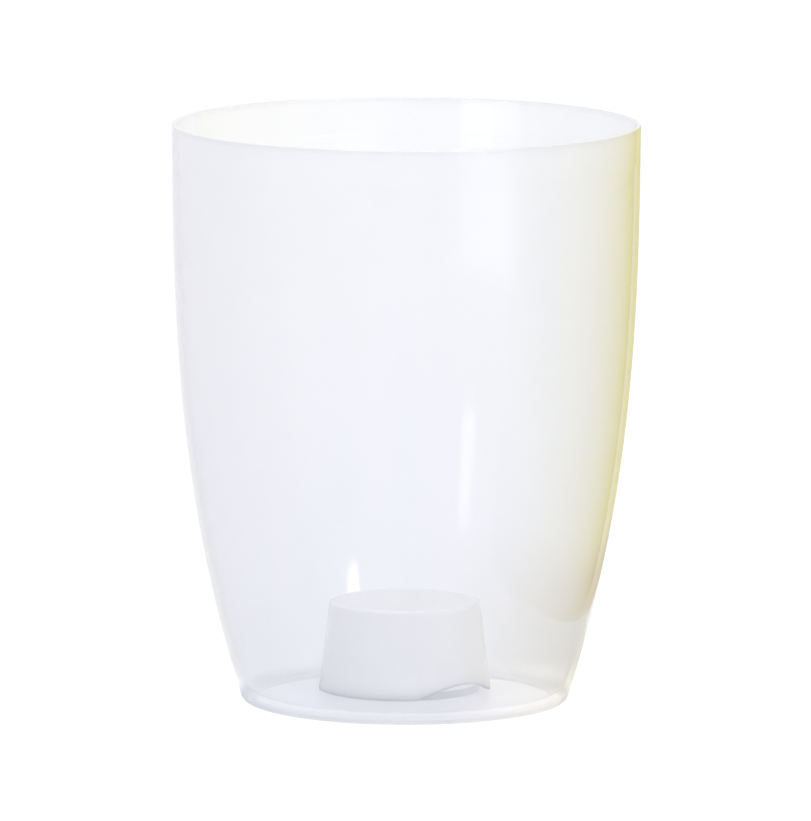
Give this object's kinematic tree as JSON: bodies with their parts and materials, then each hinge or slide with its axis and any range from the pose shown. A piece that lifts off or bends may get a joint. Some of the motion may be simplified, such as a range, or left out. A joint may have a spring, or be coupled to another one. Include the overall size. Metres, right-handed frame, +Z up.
{
  "type": "orchid pot",
  "caption": "Tall translucent plastic orchid pot with a curved tapering wall and a loose round pedestal that holds the plant's own pot above a water reservoir.",
  "frame": {"origin": "centre of the pot's foot, on the surface that it stands on", "axes": "+Z up along the pot's axis, out of its mouth; -Y towards the front in the picture"},
  "size_m": [0.125, 0.125, 0.155],
  "materials": {
    "pot_plastic": "translucent milky polypropylene, polished",
    "pedestal_plastic": "translucent milky polypropylene, satin"
  },
  "bodies": {
    "pot": {"pot": "pot_plastic"},
    "pedestal": {"pedestal": "pedestal_plastic"}
  },
  "joints": [
    {"name": "pedestal_lift", "type": "slide", "parent": "pot", "child": "pedestal", "axis": [0, 0, 1], "range_m": [0, 0.16]}
  ]
}
